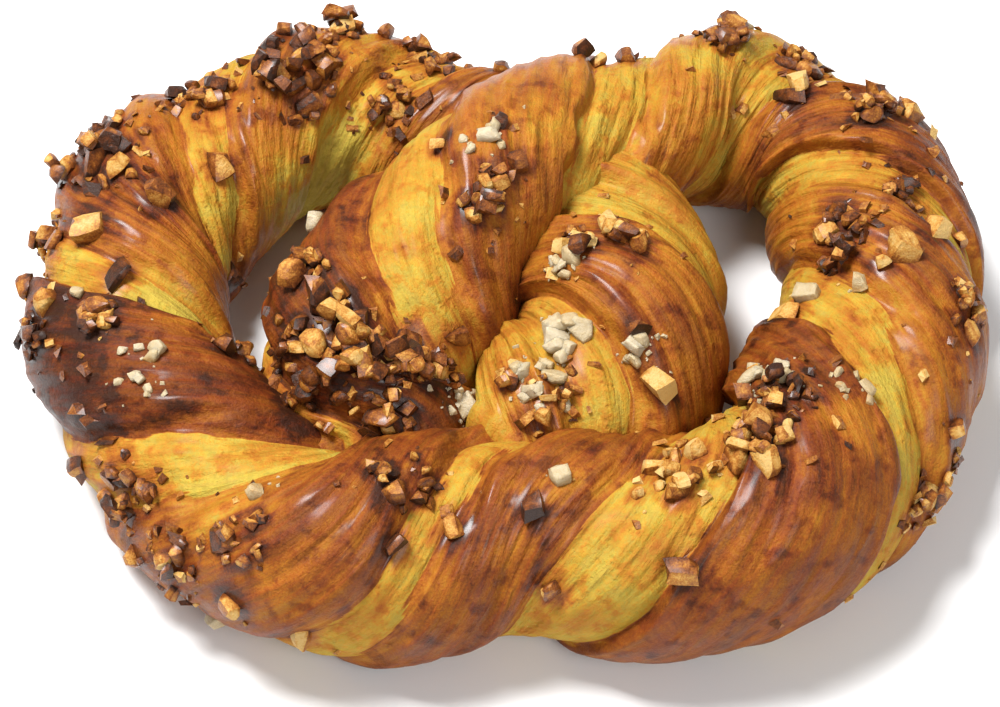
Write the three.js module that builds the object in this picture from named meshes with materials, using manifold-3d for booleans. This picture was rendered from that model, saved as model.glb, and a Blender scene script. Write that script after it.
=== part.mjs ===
// A twisted sweet pretzel: one rope of layered dough, wound like a corkscrew, looped into a
// pretzel, baked, and strewn with chopped nuts and pearl sugar. Millimetres, +Z up, the belly of
// the pretzel towards -Y. It lies on the plane z = 0, and the origin is under its middle.
import * as THREE from 'three';
import { mergeVertices } from 'three/addons/utils/BufferGeometryUtils.js';
import Module from 'manifold-3d';

const wasm = await Module();
wasm.setup();

// The rope, its crust bands and its toppings, in millimetres
const STEP = 4.3; // length of one ring of the rope's skin
const CREST = 1.8; // a brown crust band stands this far above the mean radius
const VALLEY = 1.5; // a soft yellow band lies this far below it
const PILLOW = 0.5; // a yellow band swells this much along its middle
const UNEVEN = 0.45; // height of the slow swellings left by proving
const SETTLED = 0.75; // share of that relief which the rope's own weight presses flat underneath
const END_REACH = 0.55; // length of a rounded rope end, in radii
const FLOOR_BLOCK = 30; // height of the block that cuts the baked base flat
const MIDDLE = [1.1, 5.4]; // the plan position that becomes the origin

// The route of the rope from the knob in the centre, under the crossing, round the left loop,
// the belly and the right loop, over the crossing and down to the other end.
// Each row: x, y, z of the rope's middle, its radius, and how many turns it is wound so far.
const ROUTE = [
  [4.0, -20.0, 11.0, 14.0, 0.55],
  [14.0, -11.0, 15.0, 17.8, 0.28],
  [19.0, 1.5, 17.0, 18.5, 0.03],
  [16.5, 19.5, 17.0, 15.8, -0.3],
  [10.0, 36.0, 14.0, 13.2, -0.66],
  [-3.0, 49.0, 12.0, 12.0, -1.02],
  [-19.5, 53.5, 13.0, 13.0, -1.29],
  [-37.0, 50.0, 14.0, 15.2, -1.53],
  [-52.5, 38.5, 14.0, 16.0, -1.76],
  [-60.5, 22.0, 14.0, 16.0, -1.96],
  [-61.5, 3.5, 14.0, 15.2, -2.26],
  [-54.5, -15.5, 14.0, 16.0, -2.53],
  [-38.5, -32.0, 14.0, 15.7, -2.76],
  [-23.0, -40.5, 14.5, 17.0, -3.0],
  [1.5, -37.5, 15.0, 15.8, -3.37],
  [23.5, -38.5, 15.0, 17.2, -3.69],
  [44.0, -32.0, 15.0, 18.3, -3.95],
  [57.0, -11.5, 15.0, 17.2, -4.22],
  [63.5, 12.5, 15.0, 17.0, -4.54],
  [61.5, 32.0, 15.0, 15.8, -4.86],
  [52.0, 46.5, 15.0, 14.2, -5.13],
  [36.5, 49.5, 17.0, 14.0, -5.43],
  [20.5, 41.5, 21.5, 13.8, -5.72],
  [3.5, 29.0, 26.5, 15.0, -5.97],
  [-9.0, 15.5, 26.0, 15.5, -6.18],
  [-17.0, 2.5, 20.0, 17.8, -6.36],
  [-22.0, -9.5, 14.5, 18.0, -6.56],
  [-20.5, -20.0, 11.0, 15.0, -6.72],
];
// Where the route is parted, so that no length of rope runs through itself before it is joined
const PARTED_AT = [0, 6, 21, ROUTE.length - 1];
// The bands in order from the knob: share of its strand that a yellow band takes, and how high
// the brown band after it stands, in parts of CREST
const BANDS = [
  [0.3, 1], [0.45, 0.9], [0.3, 0.8], [0.3, 0.9], [0.24, 0.8], [0.2, 1], [0.37, 1], [0.24, 0.3],
  [0.48, 1.1], [0.27, 0.9], [0.26, 0.8], [0.2, 0.7], [0.28, 0.9], [0.38, 1.1], [0.3, 1], [0.3, 1],
];

// Columns of the skin across one strand: how far across its part, and how high it stands there,
// from -1 in the valley to 1 on the crest
const YELLOW_COLUMNS = [[-1, 0], [-0.5, 0.75], [0, 1], [0.5, 0.75], [1, 0]];
const BROWN_COLUMNS = [[0.05, 0.45], [0.17, 0.8], [0.34, 0.97], [0.5, 1], [0.66, 0.97], [0.83, 0.78],
  [0.95, 0.4]];

// Toppings lie in loose heaps. Each row: place on the route, angle round the rope (0 is its left
// side and 90 its top, in degrees), reach of the heap, pieces in it, and its largest piece.
const NUT_HEAPS = [
  [6.96, 81, 7, 16, 5.6], [6.45, 125, 3, 4, 5.4], [6.0, 62, 4, 5, 4.8], [5.6, 128, 4, 5, 5.4],
  [7.7, 100, 4, 6, 4.8], [8.6, 118, 5, 10, 5.4], [9.2, 168, 2, 4, 5.0], [10.45, 108, 2.5, 4, 5.2],
  [10.2, 150, 2.5, 4, 4.8], [11.0, 40, 3, 4, 4.8], [11.45, 155, 4, 10, 4.8],
  [11.9, 170, 4, 5, 4.4], [12.4, 135, 4, 4, 4.6], [25.75, 96, 7, 15, 5.8], [25.6, 54, 6, 11, 5.2],
  [26.8, 85, 4, 7, 4.8], [25.1, 125, 3, 4, 5.2], [23.8, 67, 3, 6, 5.0], [2.33, 78, 5, 6, 5.2],
  [0.5, 95, 6, 6, 4.8], [15.7, 85, 5, 10, 5.8], [15.2, 85, 2.5, 4, 6.0], [16.2, 70, 5, 10, 4.6],
  [21.0, 108, 3, 6, 5.2], [20.25, 120, 3, 4, 5.2], [19.3, 105, 3, 7, 5.2], [18.4, 100, 2.5, 4, 4.4],
  [17.8, 65, 3, 6, 5.0], [17.5, 135, 2.5, 5, 4.8], [16.6, 175, 3.5, 5, 4.6], [13.4, 88, 3, 5, 4.8],
];
const SINGLE_NUTS = [
  [9.04, 75, 7.2], [9.46, 111, 7.0], [8.25, 54, 4.8], [9.54, 8, 6.2], [10.04, 135, 5.8],
  [12.5, 165, 5.2], [12.83, 183, 5.2], [25.92, 18, 6.8], [25.08, 36, 6.8], [2.96, 30, 7.0],
  [1.17, 129, 6.6], [17.25, 35, 6.4], [15.08, 141, 5.2], [14.17, 108, 7.0], [13.29, 119, 5.8],
  [13.62, 114, 6.2], [14.33, 153, 5.2], [22.04, 135, 5.8], [20.1, 75, 5.2], [19.25, 129, 6.2],
  [18.04, 114, 7.0], [18.12, 63, 6.2], [17.92, 57, 6.2], [17.75, 96, 5.8],
];
const SUGAR_HEAPS = [
  [10.12, 117, 0, 1, 4.2], [10.96, 96, 3, 4, 4.4], [12.33, 108, 0, 1, 4.8], [12.21, 207, 0, 1, 4.2],
  [24.54, 156, 0, 1, 5.2], [26.67, 33, 3, 3, 5.6], [23.5, 84, 2, 2, 4.8], [2.0, 66, 2, 2, 5.4],
  [1.1, 80, 4, 6, 6.4], [0.6, 90, 4, 5, 5.4], [1.33, 114, 1.5, 2, 5.2], [16.45, 60, 3, 5, 5.0],
  [17.42, 48, 0, 1, 4.8], [16.6, 99, 3, 2, 4.4], [14.33, 90, 0, 1, 4.8], [20.79, 129, 0, 1, 5.2],
  [17.5, 78, 0, 1, 5.2],
];
const SMALLEST_MODELLED = 4.7; // smaller pieces are too fine for this solid
const SMALLEST = 0.6; // a heap's smallest piece, in parts of its largest
const CHUNK_CUTS = 9; // flat breaks that shape one piece
const NUT_SIDES = [1.45, 1.15, 0.88]; // a nut's three half sizes, in parts of half its size
const SUGAR_SIDES = [1.4, 1.2, 1.0];
const NUT_LIFT = 0.16; // how far a nut's middle stands clear of the crust, in parts of its size
const SUGAR_LIFT = 0.12;

const TURN = 2 * Math.PI;
const last = ROUTE.length - 1;
const middles = new THREE.CatmullRomCurve3(
  ROUTE.map(([x, y, z]) => new THREE.Vector3(x - MIDDLE[0], y - MIDDLE[1], z)), false, 'catmullrom');
// Radius and winding change along the route as the middle does, so they are a curve as well
const measures = new THREE.CatmullRomCurve3(
  ROUTE.map(([, , , radius, turns]) => new THREE.Vector3(radius, turns, 0)), false, 'catmullrom');

// Draws from 0 to 1 that are the same every time for the same seed
function seeded(seed) {
  let state = seed >>> 0;
  return () => {
    state = (state + 0x6d2b79f5) >>> 0;
    let mixed = Math.imul(state ^ (state >>> 15), state | 1);
    mixed ^= mixed + Math.imul(mixed ^ (mixed >>> 7), mixed | 61);
    return ((mixed ^ (mixed >>> 14)) >>> 0) / 4294967296;
  };
}

// Middle, direction, left side and upper side of the rope at a place on the route
function ropeAt(place) {
  const share = THREE.MathUtils.clamp(place / last, 0, 1);
  const along = middles.getTangent(share);
  const left = new THREE.Vector3(0, 0, 1).cross(along).normalize();
  const upper = along.clone().cross(left);
  const { x: radius, y: turns } = measures.getPoint(share);
  return { middle: middles.getPoint(share), along, left, upper, radius, turns };
}

// Yellow share and crest of a strand where it is wound so far. A band keeps its own width and
// height over the top and passes to the strand's next band underneath.
function bandAt(turns, strand) {
  const band = Math.max(2 * (0.25 - turns), 0);
  const before = Math.max(2 * Math.floor((band - strand) / 2) + strand, strand);
  const after = Math.min(before + 2, BANDS.length - 1);
  const between = THREE.MathUtils.smoothstep((band - before) / 2, 0, 1);
  const [share, crest] = [0, 1].map((i) => (
    THREE.MathUtils.lerp(BANDS[before][i], BANDS[after][i], between)));
  return { share, crest: crest * CREST };
}

// Slow swellings along and round the rope
function swelling(place, angle) {
  return UNEVEN * (Math.sin(2.3 * place + 2 * angle) + 0.7 * Math.sin(4.1 * place - angle + 1));
}

// Columns of the skin across one strand: how far across its half turn each one is, from the
// middle of its yellow band to the other strand's yellow band, and its height over the mean radius
function strandColumns(turns, strand) {
  const { share, crest } = bandAt(turns, strand);
  const crust = 1 - (share + bandAt(turns, 1 - strand).share) / 2;
  const yellow = YELLOW_COLUMNS.map(([part, level]) => [part * share / 2, PILLOW * level - VALLEY]);
  const brown = BROWN_COLUMNS.map(([part, level]) => [
    share / 2 + crust * part, (crest + VALLEY) * level - VALLEY]);
  return [...yellow, ...brown];
}

// The ring of skin columns at a place, each with its angle and height, following the strands
function skinColumns(place) {
  const { turns } = ropeAt(place);
  return [0, 1].flatMap((strand) => strandColumns(turns, strand).map(([across, height]) => (
    { angle: TURN * turns + Math.PI * (strand + across), height })));
}

// Height of the skin at any angle, in straight lines between its columns
function heightAt(place, angle) {
  const columns = skinColumns(place);
  const behind = columns.map((column) => THREE.MathUtils.euclideanModulo(angle - column.angle, TURN));
  const nearest = behind.indexOf(Math.min(...behind));
  const next = (nearest + 1) % columns.length;
  const gap = THREE.MathUtils.euclideanModulo(columns[next].angle - columns[nearest].angle, TURN);
  return THREE.MathUtils.lerp(columns[nearest].height, columns[next].height, behind[nearest] / gap);
}

// A point on a ring, shrunk by scale and moved along the rope, which rounds the two ends
function skinPoint(place, angle, height, scale = 1, ahead = 0) {
  const rope = ropeAt(place);
  const pressed = 1 - SETTLED * Math.max(0, -Math.sin(angle));
  const reach = scale * (rope.radius + pressed * (height + swelling(place, angle)));
  return rope.middle
    .addScaledVector(rope.left, reach * Math.cos(angle))
    .addScaledVector(rope.upper, reach * Math.sin(angle))
    .addScaledVector(rope.along, ahead);
}

// One length of the rope as a closed skin. An end of the whole rope is rounded, and an end where
// two lengths join is flat.
function ropeLength(from, to) {
  const millimetres = middles.getLength() * (to - from) / last;
  const steps = Math.round(millimetres / STEP);
  const rings = [];
  for (let i = 0; i <= steps; i += 1) {
    const place = from + (to - from) * i / steps;
    rings.push(skinColumns(place).map(({ angle, height }) => skinPoint(place, angle, height)));
  }
  const poles = [ropeAt(from).middle, ropeAt(to).middle];
  for (const [end, isRopeEnd] of [[0, from === 0], [1, to === last]]) {
    if (!isRopeEnd) {
      continue;
    }
    const place = end ? to : from;
    const sign = end ? 1 : -1;
    const reach = END_REACH * ropeAt(place).radius * sign;
    for (const bend of [0.4, 0.8, 1.2]) {
      const ring = skinColumns(place).map(({ angle, height }) => (
        skinPoint(place, angle, height, Math.cos(bend), reach * Math.sin(bend))));
      if (end) {
        rings.push(ring);
      } else {
        rings.unshift(ring);
      }
    }
    poles[end].addScaledVector(ropeAt(place).along, reach);
  }
  const around = rings[0].length;
  const faces = [];
  for (let i = 0; i + 1 < rings.length; i += 1) {
    for (let j = 0; j < around; j += 1) {
      const here = i * around + j;
      const beside = i * around + (j + 1) % around;
      faces.push(here, beside, beside + around, here, beside + around, here + around);
    }
  }
  const firstPole = rings.length * around;
  const lastRing = firstPole - around;
  for (let j = 0; j < around; j += 1) {
    const beside = (j + 1) % around;
    faces.push(firstPole, beside, j, firstPole + 1, lastRing + j, lastRing + beside);
  }
  return closedSolid([...rings.flat(), ...poles], faces);
}

function closedSolid(points, faces) {
  const vertProperties = new Float32Array(points.flatMap((point) => point.toArray()));
  return new wasm.Manifold(new wasm.Mesh({ numProp: 3, vertProperties, triVerts: new Uint32Array(faces) }));
}

// Points and faces of a shape, with the corners that its faces share merged
function mergedShape(geometry) {
  geometry.deleteAttribute('normal');
  geometry.deleteAttribute('uv');
  const merged = mergeVertices(geometry);
  const { position } = merged.attributes;
  const points = [];
  for (let i = 0; i < position.count; i += 1) {
    points.push(new THREE.Vector3().fromBufferAttribute(position, i));
  }
  const faces = merged.index ? [...merged.index.array] : points.map((_, i) => i);
  return { points, faces };
}

function direction(draw) {
  const height = 2 * draw() - 1;
  const angle = TURN * draw();
  const flat = Math.sqrt(1 - height * height);
  return new THREE.Vector3(flat * Math.cos(angle), flat * Math.sin(angle), height);
}

// A broken piece: a ball with flat breaks, stretched to its sides, half sunk in the skin at a
// place and angle, its flattest side more or less down
const ball = mergedShape(new THREE.IcosahedronGeometry(1, 0));
function chunk(place, angle, size, sides, lift, draw) {
  const rope = ropeAt(place);
  const height = heightAt(place, angle);
  const outward = rope.left.clone().multiplyScalar(Math.cos(angle))
    .addScaledVector(rope.upper, Math.sin(angle));
  const sideways = outward.clone().cross(rope.along);
  const cuts = Array.from({ length: CHUNK_CUTS }, () => {
    const normal = direction(draw);
    return { normal, depth: 0.6 + 0.35 * draw() };
  });
  const tilt = new THREE.Euler(1.4 * (draw() - 0.5), 1.4 * (draw() - 0.5), TURN * draw());
  const seat = skinPoint(place, angle, height).addScaledVector(outward, lift * size);
  const placed = new THREE.Matrix4().makeBasis(rope.along, sideways, outward).setPosition(seat);
  const points = ball.points.map((corner) => {
    const reaches = cuts.map(({ normal, depth }) => depth / Math.max(corner.dot(normal), 0.01));
    const point = corner.clone().multiplyScalar(Math.min(1, ...reaches) * size / 2);
    point.multiply(new THREE.Vector3(...sides));
    return point.applyEuler(tilt).applyMatrix4(placed);
  });
  return closedSolid(points, ball.faces);
}

// The largest pieces of a heap, each drawn from a seed of its own
function heap([place, angle, reach, count, size], sides, lift, heapSeed) {
  const perPlace = middles.getLength() / last;
  const pieces = [];
  for (let i = 0; i < count; i += 1) {
    const pieceSize = size * (1 - (1 - SMALLEST) * i / Math.max(count - 1, 1));
    if (pieceSize < SMALLEST_MODELLED) {
      break;
    }
    const draw = seeded(heapSeed + i);
    const away = reach * Math.sqrt(draw());
    const bearing = TURN * draw();
    const there = place + away * Math.cos(bearing) / perPlace;
    const turned = THREE.MathUtils.degToRad(angle) + away * Math.sin(bearing) / ropeAt(place).radius;
    pieces.push(chunk(THREE.MathUtils.clamp(there, 0, last), turned, pieceSize, sides, lift, draw));
  }
  return pieces;
}

function toppings() {
  const singles = SINGLE_NUTS.map(([place, angle, size]) => [place, angle, 0, 1, size]);
  const nuts = [...NUT_HEAPS, ...singles].flatMap((row, i) => heap(row, NUT_SIDES, NUT_LIFT, 100 * i));
  const sugar = SUGAR_HEAPS.flatMap((row, i) => heap(row, SUGAR_SIDES, SUGAR_LIFT, 50000 + 100 * i));
  return [...nuts, ...sugar];
}

function floorBlock() {
  const { points, faces } = mergedShape(new THREE.BoxGeometry(400, 400, FLOOR_BLOCK));
  points.forEach((point) => point.setZ(point.z - FLOOR_BLOCK / 2));
  return closedSolid(points, faces);
}

function bakedPretzel() {
  const lengths = PARTED_AT.slice(1).map((to, i) => ropeLength(PARTED_AT[i], to));
  const dough = wasm.Manifold.union(lengths);
  const strewn = wasm.Manifold.union([dough, ...toppings()]).subtract(floorBlock());
  // Where pieces meet they can shut in a speck of air, which is left out as a hollow
  return strewn.decompose().sort((a, b) => b.volume() - a.volume())[0];
}

function solidGeometry(solid) {
  const mesh = solid.getMesh();
  const geometry = new THREE.BufferGeometry();
  geometry.setAttribute('position', new THREE.BufferAttribute(mesh.vertProperties, 3));
  geometry.setIndex(new THREE.BufferAttribute(mesh.triVerts, 1));
  geometry.computeVertexNormals();
  return geometry;
}

function crustMaterial() {
  return new THREE.MeshStandardMaterial({ color: 0xb4783b, roughness: 0.45, metalness: 0 });
}

const pretzel = new THREE.Mesh(solidGeometry(bakedPretzel()), crustMaterial());
pretzel.name = 'pretzel';
const group = new THREE.Group();
group.add(pretzel);

export default group;
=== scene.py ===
# %% [markdown]
# A sweet twisted pretzel, as a part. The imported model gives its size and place, and stays hidden
# here: finer pieces stand for it, which are the dough, the chopped nuts and their crumbs, and the
# pearl sugar and its fine grains. Each is a surface worked out with numpy from the same few
# measures as the solid. Lengths are metres, written as millimetres times MM.

# %% Load the frame
import math
import bpy
import numpy as np
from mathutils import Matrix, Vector


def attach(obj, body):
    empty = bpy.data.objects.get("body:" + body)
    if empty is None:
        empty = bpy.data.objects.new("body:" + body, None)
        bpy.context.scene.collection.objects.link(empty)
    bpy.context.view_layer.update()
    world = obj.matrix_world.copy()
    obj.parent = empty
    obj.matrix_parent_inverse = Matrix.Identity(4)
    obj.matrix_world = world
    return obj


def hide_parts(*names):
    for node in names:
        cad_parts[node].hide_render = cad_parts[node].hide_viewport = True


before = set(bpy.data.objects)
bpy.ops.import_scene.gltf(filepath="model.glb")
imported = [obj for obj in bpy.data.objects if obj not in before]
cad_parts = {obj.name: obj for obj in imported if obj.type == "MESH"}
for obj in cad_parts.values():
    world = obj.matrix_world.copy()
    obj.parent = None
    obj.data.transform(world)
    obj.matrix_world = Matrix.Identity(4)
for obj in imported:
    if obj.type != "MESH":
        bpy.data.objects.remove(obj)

MM = 0.001
TURN = 2 * math.pi
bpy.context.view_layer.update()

# %% [markdown]
# The rope is dough rolled out long, twisted and looped. It could be a Blender curve with a bevel,
# but then neither the corkscrew bands nor the height of the crust would follow it. So its route is
# a short list of knots, and everything else is worked out along it. Each knot holds the middle of
# the rope, its radius, and how many turns the rope is wound up to there.

# %% The route of the rope
MIDDLE = np.array([1.1, 5.4, 0]) * MM
ROUTE = np.array([
    [4.0, -20.0, 11.0, 14.0, 0.55],
    [14.0, -11.0, 15.0, 17.8, 0.28],
    [19.0, 1.5, 17.0, 18.5, 0.03],
    [16.5, 19.5, 17.0, 15.8, -0.3],
    [10.0, 36.0, 14.0, 13.2, -0.66],
    [-3.0, 49.0, 12.0, 12.0, -1.02],
    [-19.5, 53.5, 13.0, 13.0, -1.29],
    [-37.0, 50.0, 14.0, 15.2, -1.53],
    [-52.5, 38.5, 14.0, 16.0, -1.76],
    [-60.5, 22.0, 14.0, 16.0, -1.96],
    [-61.5, 3.5, 14.0, 15.2, -2.26],
    [-54.5, -15.5, 14.0, 16.0, -2.53],
    [-38.5, -32.0, 14.0, 15.7, -2.76],
    [-23.0, -40.5, 14.5, 17.0, -3.0],
    [1.5, -37.5, 15.0, 15.8, -3.37],
    [23.5, -38.5, 15.0, 17.2, -3.69],
    [44.0, -32.0, 15.0, 18.3, -3.95],
    [57.0, -11.5, 15.0, 17.2, -4.22],
    [63.5, 12.5, 15.0, 17.0, -4.54],
    [61.5, 32.0, 15.0, 15.8, -4.86],
    [52.0, 46.5, 15.0, 14.2, -5.13],
    [36.5, 49.5, 17.0, 14.0, -5.43],
    [20.5, 41.5, 21.5, 13.8, -5.72],
    [3.5, 29.0, 26.5, 15.0, -5.97],
    [-9.0, 15.5, 26.0, 15.5, -6.18],
    [-17.0, 2.5, 20.0, 17.8, -6.36],
    [-22.0, -9.5, 14.5, 18.0, -6.56],
    [-20.5, -20.0, 11.0, 15.0, -6.72],
]) * (MM, MM, MM, MM, 1)
ROUTE[:, :3] -= MIDDLE
LAST = len(ROUTE) - 1
SLIVER = 1e-6            # keeps the last place inside the last stretch of the route


def along_route(place):
    """Knots blended by Catmull-Rom: at share f between knots b and c, with a before and d after,
    half of 2b + (c - a)f + (2a - 5b + 4c - d)f^2 + (3b - a - 3c + d)f^3, and its slope."""
    knots = np.vstack([2 * ROUTE[0] - ROUTE[1], ROUTE, 2 * ROUTE[-1] - ROUTE[-2]])
    place = np.clip(np.asarray(place, float), 0, LAST - SLIVER)
    first = np.floor(place).astype(int)
    f = (place - first)[..., None]
    a, b, c, d = (knots[first + k] for k in range(4))
    bend, twist = 2 * a - 5 * b + 4 * c - d, 3 * b - a - 3 * c + d
    value = (2 * b + (c - a) * f + bend * f ** 2 + twist * f ** 3) / 2
    slope = ((c - a) + 2 * bend * f + 3 * twist * f ** 2) / 2
    return value, slope


def unit(vectors):
    """Vectors divided by their own lengths."""
    return vectors / np.linalg.norm(vectors, axis=-1, keepdims=True)


def rope_at(place):
    """Middle, direction, left side, upper side, radius and winding of the rope. The left side is
    up crossed with the direction, and the upper side is the direction crossed with the left."""
    value, slope = along_route(place)
    along = unit(slope[..., :3])
    left = unit(np.cross([0.0, 0.0, 1.0], along))
    return value[..., :3], along, left, np.cross(along, left), value[..., 3], value[..., 4]


FINE_PLACES = 4000
finely = np.linspace(0, LAST, FINE_PLACES)
gone = np.linalg.norm(np.diff(along_route(finely)[0][:, :3], axis=0), axis=1)
DISTANCES = np.concatenate([[0], np.cumsum(gone)])
ROPE_LENGTH = DISTANCES[-1]
print("rope length in mm:", round(ROPE_LENGTH / MM))


def distance_at(place):
    """Length of rope up to a place, read between finely spaced sums of its steps."""
    return np.interp(place, finely, DISTANCES)


# %% [markdown]
# Nothing baked is smooth, so the surfaces need noise. Blender's own noise textures work in the
# shader, and these bumps have to be real mesh, so a value noise is written here: a whole-number
# lattice hashed to numbers and blended smoothly between its points. The rope reads it at a point
# that goes round a circle with the strands and only slowly along the rope, so the noise closes
# round the rope and is drawn out into streaks along the twisted strands.

# %% Noise in numpy
BITS_32, BITS_24 = 0xFFFFFFFF, 0xFFFFFF
LATTICE_MULTIPLES = np.array([374761393, 668265263, 2147483647])
SEED_MULTIPLE = 974634777
MIXERS = (1274126177, 1103515245)


def hashed(lattice, seed):
    """A number from 0 to 1 for whole numbers x, y, z: odd multiples added, then mixed bit by bit."""
    mixed = (lattice @ LATTICE_MULTIPLES + seed * SEED_MULTIPLE) & BITS_32
    mixed = ((mixed ^ (mixed >> 13)) * MIXERS[0]) & BITS_32
    mixed = ((mixed ^ (mixed >> 16)) * MIXERS[1]) & BITS_32
    return ((mixed ^ (mixed >> 15)) & BITS_24) / BITS_24


def noise(points, cell, seed):
    """Value noise from -1 to 1: hashed lattice corners, blended by 3f^2 - 2f^3 on each axis."""
    base = np.floor(points / cell)
    f = points / cell - base
    f = f * f * (3 - 2 * f)
    base = base.astype(np.int64)
    total = 0
    for corner in np.ndindex(2, 2, 2):
        weight = np.prod(np.where(corner, f, 1 - f), axis=-1)
        total = total + weight * hashed(base + corner, seed)
    return 2 * total - 1


LAYERED = 1.5            # brings the sum of the layers back to about 1


def layered_noise(points, cell, seed, layers=3):
    """Noise plus ever finer noise: each layer has half the cell and half the height."""
    return sum(noise(points, cell / 2 ** k, seed + k) / 2 ** k for k in range(layers)) / LAYERED


def ramp(low, high, value):
    """0 up to low, 1 from high on, and 3s^2 - 2s^3 between."""
    s = np.clip((value - low) / (high - low), 0, 1)
    return s * s * (3 - 2 * s)


STATE_STEP = 0x6D2B79F5


def seeded(seed):
    """Draws from 0 to 1, the same each run: a 32-bit count put through two rounds of mixing."""
    state = seed & BITS_32

    def draw():
        """The next draw."""
        nonlocal state
        state = (state + STATE_STEP) & BITS_32
        mixed = ((state ^ (state >> 15)) * (state | 1)) & BITS_32
        mixed ^= (mixed + ((mixed ^ (mixed >> 7)) * (mixed | 61))) & BITS_32
        return (mixed ^ (mixed >> 14)) / (BITS_32 + 1)
    return draw


print("first draws", [round(draw(), 3) for draw in map(seeded, range(3))])


# %% [markdown]
# The rope was brushed with egg, twisted and baked. What lay outside went brown and glossy, and
# what the twist and the oven pulled open between stayed yellow and soft. So two strands wind round
# the rope, each with a yellow valley and a brown crust. Every band has its own width, height and
# edges: where the skin tore it ends in a sharp flap, and elsewhere it fades into the yellow.

# %% The bands of the crust
# Yellow share of its strand; then of the brown band after it: crest, sharpness of its first and
# of its second edge, how dark it is baked, and how far its colour runs in from the edges in mm
BANDS = np.array([
    [0.30, 1.0, 0.6, 0.6, 0.37, 4], [0.30, 0.9, 0.5, 0.5, 0.08, 5], [0.30, 0.8, 0.5, 0.5, 0.36, 6],
    [0.30, 0.9, 0.3, 0.4, 0.20, 8], [0.24, 0.8, 0.2, 0.2, 0.34, 8], [0.25, 1.0, 1.0, 0.5, 0.64, 2],
    [0.28, 1.0, 0.2, 0.4, 0.44, 5], [0.22, 0.4, 0.3, 0.2, 0.45, 5], [0.48, 1.1, 1.0, 0.9, 0.47, 2],
    [0.27, 0.9, 0.4, 0.3, 0.38, 7], [0.26, 0.8, 0.9, 0.3, 0.50, 6], [0.20, 0.7, 0.2, 0.6, 0.03, 9],
    [0.28, 0.9, 0.7, 0.6, 0.25, 6], [0.38, 1.1, 0.3, 0.4, 0.55, 9], [0.12, 1.0, 0.4, 0.4, 0.48, 7],
    [0.30, 1.0, 0.4, 0.4, 0.52, 7],
])
FIRST_BAND = 0.25        # turns where the first band lies on top


def band_at(turns, strand):
    """A strand's row of BANDS where it is wound so far: a band keeps its values over the top and
    passes smoothly to the strand's next band underneath."""
    band = np.maximum(2 * (FIRST_BAND - turns), 0)
    before = np.maximum(2 * np.floor((band - strand) / 2) + strand, strand).astype(int)
    before = np.minimum(before, len(BANDS) - 1)
    after = np.minimum(before + 2, len(BANDS) - 1)
    between = ramp(0, 1, (band - before) / 2)[..., None]
    return BANDS[before] * (1 - between) + BANDS[after] * between


print("bands", len(BANDS), "browning from", BANDS[:, 4].min(), "to", BANDS[:, 4].max())

# %% [markdown]
# A torn edge wanders. It could be broken up in the shader alone, but a torn crust is also a step
# in the skin, so the edge itself is a line that wanders, and the mesh, its columns and its colours
# all follow that one line.

# %% The torn edges
EDGE_SEEDS = ((11, 23), (37, 41))
SLOW_WANDER, SLOW_CELL = 0.06, 13 * MM
QUICK_WANDER, QUICK_CELL = 0.034, 3.6 * MM
NARROWEST = 0.03


def wander(place, seed):
    """How far a torn edge wanders across its strand, in half turns: a slow and a quick noise."""
    gone = distance_at(place)
    line = np.stack([gone, 0 * gone, 0 * gone], axis=-1)
    return (SLOW_WANDER * noise(line, SLOW_CELL, seed)
            + QUICK_WANDER * noise(line, QUICK_CELL, seed + 1))


def crust_edges(place, strand):
    """Where a strand's crust starts and ends, in half turns from the strand's yellow middle, and
    then its row of BANDS."""
    turns = along_route(place)[0][..., 4]
    own, other = band_at(turns, strand), band_at(turns, 1 - strand)
    first, second = EDGE_SEEDS[strand]
    start = np.maximum(own[..., 0] / 2 + wander(place, first), NARROWEST)
    end = np.minimum(1 - other[..., 0] / 2 + wander(place, second), 1 - NARROWEST)
    return np.concatenate([start[..., None], end[..., None], own], axis=-1)


print("first crust runs from", crust_edges(0.0, 0)[:2].round(3), "half turns")

# %% [markdown]
# Twisting and baking draw the skin out into ridges and crinkles along the strands. So their noise
# is read at a point that goes round a circle once a turn, which closes it round the rope, and
# moves on only slowly along the rope, which draws it out.

# %% Where the grain is read
GRAIN_RADIUS = 16 * MM
GRAIN_DRAWN_OUT = 0.2


def grain_at(place, turn):
    """The point where noise is read: the turn as a circle, and a small part of the distance."""
    angle = TURN * turn
    return np.stack(np.broadcast_arrays(GRAIN_RADIUS * np.cos(angle), GRAIN_RADIUS * np.sin(angle),
                                        GRAIN_DRAWN_OUT * distance_at(place)), axis=-1)


print("grain runs", round(GRAIN_DRAWN_OUT * ROPE_LENGTH / MM), "mm for the whole rope")

# %% [markdown]
# Now the height of the skin. A displacement modifier could lift it from an image of the bands, but
# the height follows simple rules, so it is worked out here: each crust is a crowned step with an
# edge as sharp as its band says, the yellow between is a low pillow, and ridges, crinkles and slow
# lumps lie over both. At a sharp edge the crust also slides sideways, as a flap.

# %% The relief of the skin
CREST = 1.8 * MM         # a crust over the mean skin
VALLEY = 1.5 * MM        # the yellow under it
PILLOW = 0.5 * MM
FLAP = 0.9 * MM
UNEVEN = 0.45 * MM       # slow swellings of the whole rope
SHARP_EDGE, SOFT_EDGE = 0.05, 0.24
CROWN = 0.2
RIDGES, RIDGE_CELL = 0.20, 3.6 * MM
GROOVES, GROOVE_CELL = 0.03, 1.3 * MM
CRINKLES, CRINKLE_CELL = 0.50, 4.2 * MM
LUMPS, LUMP_CELL = 0.85 * MM, 9 * MM
ON_YELLOW = 0.4          # share of the ridges that the yellow carries


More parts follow.
